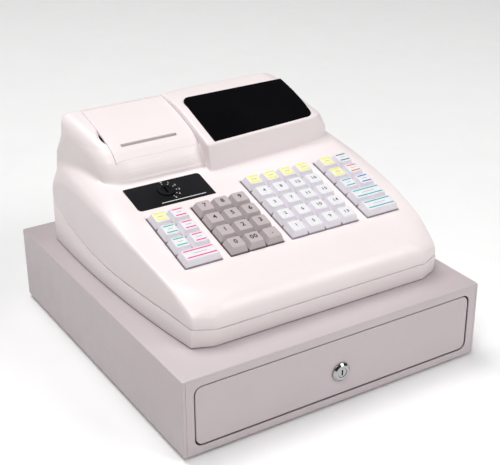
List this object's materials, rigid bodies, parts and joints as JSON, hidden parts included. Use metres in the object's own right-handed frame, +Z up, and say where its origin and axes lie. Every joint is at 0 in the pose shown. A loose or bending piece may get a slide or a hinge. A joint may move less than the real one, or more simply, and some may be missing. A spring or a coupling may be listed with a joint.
{
  "type": "cash register",
  "caption": "Electronic cash register with a sloped keyboard, receipt printer and display, on a locking steel cash drawer.",
  "frame": {"origin": "middle of the footprint, on the table under the rubber feet", "axes": "+Z up; the operator stands at -Y; +X is to the operator's right"},
  "size_m": [0.33, 0.3596, 0.2236],
  "materials": {
    "warm_white_plastic": "fine satin, injection moulded",
    "drawer_paint": "textured powder paint",
    "zinc_steel": "zinc plated",
    "chrome": "polished",
    "black_plastic": "satin",
    "smoked_window": "gloss, smoked acrylic",
    "till_plastic": "satin",
    "black_rubber": "matt",
    "circuit_board": "solder mask",
    "thermal_paper": "smooth paper",
    "grey_key": "satin",
    "lilac_key": "clear keycap over a printed label"
  },
  "bodies": {
    "register": {"base_housing": "warm_white_plastic", "display_board": "circuit_board", "display_window": "smoked_window", "drawer_case": "drawer_paint", "foot_front_left": "black_rubber", "foot_front_right": "black_rubber", "foot_rear_left": "black_rubber", "foot_rear_right": "black_rubber", "keyboard_plate": "till_plastic", "main_board": "circuit_board", "mode_panel": "black_plastic", "power_inlet": "black_plastic", "printer_frame": "black_plastic", "rail_left": "zinc_steel", "rail_right": "zinc_steel", "release_solenoid": "black_plastic", "top_cover": "warm_white_plastic"},
    "drawer": {"drawer_front": "drawer_paint", "drawer_tray": "zinc_steel", "cash_till": "till_plastic", "clip_rod": "zinc_steel", "lock_barrel": "chrome"},
    "drawer_lock": {"lock_plug": "chrome"},
    "printer_lid": {"printer_lid": "warm_white_plastic"},
    "platen_roller": {"platen_roller": "black_rubber"},
    "paper_roll": {"paper_roll": "thermal_paper"},
    "mode_lock": {"mode_lock": "black_plastic"},
    "latch_lever": {"latch_lever": "zinc_steel"},
    "roller_left": {"roller_left": "till_plastic"},
    "roller_right": {"roller_right": "till_plastic"},
    "note_clip_1": {"note_clip_1": "till_plastic"},
    "note_clip_2": {"note_clip_2": "till_plastic"},
    "note_clip_3": {"note_clip_3": "till_plastic"},
    "note_clip_4": {"note_clip_4": "till_plastic"},
    "key_clear": {"key_clear": "lilac_key"},
    "key_subtotal": {"key_subtotal": "lilac_key"},
    "key_cash": {"key_cash": "lilac_key"},
    "keys_left_row_1": {"keys_left_row_1": "lilac_key"},
    "keys_left_row_2": {"keys_left_row_2": "lilac_key"},
    "keys_left_row_3": {"keys_left_row_3": "lilac_key"},
    "keys_right_row_2": {"keys_right_row_2": "lilac_key"},
    "keys_right_row_3": {"keys_right_row_3": "lilac_key"},
    "keys_right_row_4": {"keys_right_row_4": "lilac_key"},
    "keys_department_row_1": {"keys_department_row_1": "lilac_key"},
    "keys_department_row_2": {"keys_department_row_2": "lilac_key"},
    "keys_department_row_3": {"keys_department_row_3": "lilac_key"},
    "keys_department_row_4": {"keys_department_row_4": "lilac_key"},
    "keys_department_row_5": {"keys_department_row_5": "lilac_key"},
    "key_0": {"key_0": "grey_key"},
    "key_00": {"key_00": "grey_key"},
    "key_point": {"key_point": "grey_key"},
    "key_1": {"key_1": "grey_key"},
    "key_2": {"key_2": "grey_key"},
    "key_3": {"key_3": "grey_key"},
    "key_4": {"key_4": "grey_key"},
    "key_5": {"key_5": "grey_key"},
    "key_6": {"key_6": "grey_key"},
    "key_7": {"key_7": "grey_key"},
    "key_8": {"key_8": "grey_key"},
    "key_9": {"key_9": "grey_key"}
  },
  "joints": [
    {"name": "drawer_slide", "type": "slide", "parent": "register", "child": "drawer", "axis": [0, -1, 0], "range_m": [0, 0.25]},
    {"name": "printer_lid_hinge", "type": "hinge", "parent": "register", "child": "printer_lid", "pos_m": [-0.063, 0.1255, 0.21975], "axis": [-1, 0, 0], "range_deg": [0, 92]},
    {"name": "drawer_lock_turn", "type": "hinge", "parent": "drawer", "child": "drawer_lock", "pos_m": [0.0006, -0.1798, 0.0376], "axis": [0, -1, 0], "range_deg": [0, 90]},
    {"name": "mode_lock_turn", "type": "hinge", "parent": "register", "child": "mode_lock", "pos_m": [-0.074, 0.01502, 0.16637], "axis": [0, 0.2588, -0.9659], "range_deg": [0, 150]},
    {"name": "note_clip_1_lift", "type": "hinge", "parent": "drawer", "child": "note_clip_1", "pos_m": [-0.1083, 0.1257, 0.053], "axis": [-1, 0, 0], "range_deg": [0, 46], "stiffness_Nm_per_rad": 0.05, "springref_deg": -17.19},
    {"name": "note_clip_2_lift", "type": "hinge", "parent": "drawer", "child": "note_clip_2", "pos_m": [-0.0361, 0.1257, 0.053], "axis": [-1, 0, 0], "range_deg": [0, 46], "stiffness_Nm_per_rad": 0.05, "springref_deg": -17.19},
    {"name": "note_clip_3_lift", "type": "hinge", "parent": "drawer", "child": "note_clip_3", "pos_m": [0.0361, 0.1257, 0.053], "axis": [-1, 0, 0], "range_deg": [0, 46], "stiffness_Nm_per_rad": 0.05, "springref_deg": -17.19},
    {"name": "note_clip_4_lift", "type": "hinge", "parent": "drawer", "child": "note_clip_4", "pos_m": [0.1083, 0.1257, 0.053], "axis": [-1, 0, 0], "range_deg": [0, 46], "stiffness_Nm_per_rad": 0.05, "springref_deg": -17.19},
    {"name": "latch_lever_turn", "type": "hinge", "parent": "register", "child": "latch_lever", "pos_m": [0.0085, 0.1692, 0.02525], "axis": [0, 0, -1], "range_deg": [0, 24]},
    {"name": "paper_roll_spin", "type": "hinge", "parent": "register", "child": "paper_roll", "pos_m": [-0.066, 0.0975, 0.17575], "axis": [1, 0, 0], "continuous": true},
    {"name": "platen_roller_spin", "type": "hinge", "parent": "printer_lid", "child": "platen_roller", "pos_m": [-0.066, 0.067, 0.18925], "axis": [1, 0, 0], "continuous": true},
    {"name": "roller_left_spin", "type": "hinge", "parent": "drawer", "child": "roller_left", "pos_m": [-0.1504, 0.1367, 0.0283], "axis": [1, 0, 0], "range_deg": [0, 2400]},
    {"name": "roller_right_spin", "type": "hinge", "parent": "drawer", "child": "roller_right", "pos_m": [0.1504, 0.1367, 0.0283], "axis": [1, 0, 0], "range_deg": [0, 2400]},
    {"name": "key_clear_press", "type": "slide", "parent": "register", "child": "key_clear", "axis": [0, 0.2588, -0.9659], "range_m": [0, 0.0035], "stiffness_N_per_m": 200, "springref_m": -0.002},
    {"name": "key_subtotal_press", "type": "slide", "parent": "register", "child": "key_subtotal", "axis": [0, 0.2588, -0.9659], "range_m": [0, 0.0035], "stiffness_N_per_m": 200, "springref_m": -0.002},
    {"name": "key_cash_press", "type": "slide", "parent": "register", "child": "key_cash", "axis": [0, 0.2588, -0.9659], "range_m": [0, 0.0035], "stiffness_N_per_m": 200, "springref_m": -0.002},
    {"name": "keys_left_row_1_press", "type": "slide", "parent": "register", "child": "keys_left_row_1", "axis": [0, 0.2588, -0.9659], "range_m": [0, 0.0035], "stiffness_N_per_m": 200, "springref_m": -0.002},
    {"name": "keys_left_row_2_press", "type": "slide", "parent": "register", "child": "keys_left_row_2", "axis": [0, 0.2588, -0.9659], "range_m": [0, 0.0035], "stiffness_N_per_m": 200, "springref_m": -0.002},
    {"name": "keys_left_row_3_press", "type": "slide", "parent": "register", "child": "keys_left_row_3", "axis": [0, 0.2588, -0.9659], "range_m": [0, 0.0035], "stiffness_N_per_m": 200, "springref_m": -0.002},
    {"name": "keys_right_row_2_press", "type": "slide", "parent": "register", "child": "keys_right_row_2", "axis": [0, 0.2588, -0.9659], "range_m": [0, 0.0035], "stiffness_N_per_m": 200, "springref_m": -0.002},
    {"name": "keys_right_row_3_press", "type": "slide", "parent": "register", "child": "keys_right_row_3", "axis": [0, 0.2588, -0.9659], "range_m": [0, 0.0035], "stiffness_N_per_m": 200, "springref_m": -0.002},
    {"name": "keys_right_row_4_press", "type": "slide", "parent": "register", "child": "keys_right_row_4", "axis": [0, 0.2588, -0.9659], "range_m": [0, 0.0035], "stiffness_N_per_m": 200, "springref_m": -0.002},
    {"name": "keys_department_row_1_press", "type": "slide", "parent": "register", "child": "keys_department_row_1", "axis": [0, 0.2588, -0.9659], "range_m": [0, 0.0035], "stiffness_N_per_m": 200, "springref_m": -0.002},
    {"name": "keys_department_row_2_press", "type": "slide", "parent": "register", "child": "keys_department_row_2", "axis": [0, 0.2588, -0.9659], "range_m": [0, 0.0035], "stiffness_N_per_m": 200, "springref_m": -0.002},
    {"name": "keys_department_row_3_press", "type": "slide", "parent": "register", "child": "keys_department_row_3", "axis": [0, 0.2588, -0.9659], "range_m": [0, 0.0035], "stiffness_N_per_m": 200, "springref_m": -0.002},
    {"name": "keys_department_row_4_press", "type": "slide", "parent": "register", "child": "keys_department_row_4", "axis": [0, 0.2588, -0.9659], "range_m": [0, 0.0035], "stiffness_N_per_m": 200, "springref_m": -0.002},
    {"name": "keys_department_row_5_press", "type": "slide", "parent": "register", "child": "keys_department_row_5", "axis": [0, 0.2588, -0.9659], "range_m": [0, 0.0035], "stiffness_N_per_m": 200, "springref_m": -0.002},
    {"name": "key_0_press", "type": "slide", "parent": "register", "child": "key_0", "axis": [0, 0.2588, -0.9659], "range_m": [0, 0.0035], "stiffness_N_per_m": 200, "springref_m": -0.002},
    {"name": "key_00_press", "type": "slide", "parent": "register", "child": "key_00", "axis": [0, 0.2588, -0.9659], "range_m": [0, 0.0035], "stiffness_N_per_m": 200, "springref_m": -0.002},
    {"name": "key_point_press", "type": "slide", "parent": "register", "child": "key_point", "axis": [0, 0.2588, -0.9659], "range_m": [0, 0.0035], "stiffness_N_per_m": 200, "springref_m": -0.002},
    {"name": "key_1_press", "type": "slide", "parent": "register", "child": "key_1", "axis": [0, 0.2588, -0.9659], "range_m": [0, 0.0035], "stiffness_N_per_m": 200, "springref_m": -0.002},
    {"name": "key_2_press", "type": "slide", "parent": "register", "child": "key_2", "axis": [0, 0.2588, -0.9659], "range_m": [0, 0.0035], "stiffness_N_per_m": 200, "springref_m": -0.002},
    {"name": "key_3_press", "type": "slide", "parent": "register", "child": "key_3", "axis": [0, 0.2588, -0.9659], "range_m": [0, 0.0035], "stiffness_N_per_m": 200, "springref_m": -0.002},
    {"name": "key_4_press", "type": "slide", "parent": "register", "child": "key_4", "axis": [0, 0.2588, -0.9659], "range_m": [0, 0.0035], "stiffness_N_per_m": 200, "springref_m": -0.002},
    {"name": "key_5_press", "type": "slide", "parent": "register", "child": "key_5", "axis": [0, 0.2588, -0.9659], "range_m": [0, 0.0035], "stiffness_N_per_m": 200, "springref_m": -0.002},
    {"name": "key_6_press", "type": "slide", "parent": "register", "child": "key_6", "axis": [0, 0.2588, -0.9659], "range_m": [0, 0.0035], "stiffness_N_per_m": 200, "springref_m": -0.002},
    {"name": "key_7_press", "type": "slide", "parent": "register", "child": "key_7", "axis": [0, 0.2588, -0.9659], "range_m": [0, 0.0035], "stiffness_N_per_m": 200, "springref_m": -0.002},
    {"name": "key_8_press", "type": "slide", "parent": "register", "child": "key_8", "axis": [0, 0.2588, -0.9659], "range_m": [0, 0.0035], "stiffness_N_per_m": 200, "springref_m": -0.002},
    {"name": "key_9_press", "type": "slide", "parent": "register", "child": "key_9", "axis": [0, 0.2588, -0.9659], "range_m": [0, 0.0035], "stiffness_N_per_m": 200, "springref_m": -0.002}
  ],
  "couplings": [
    {"joint": "roller_left_spin", "follows": "drawer_slide", "rad_per_m": 166.67},
    {"joint": "roller_right_spin", "follows": "drawer_slide", "rad_per_m": 166.67},
    {"joint": "platen_roller_spin", "follows": "paper_roll_spin", "ratio": 4.4}
  ]
}
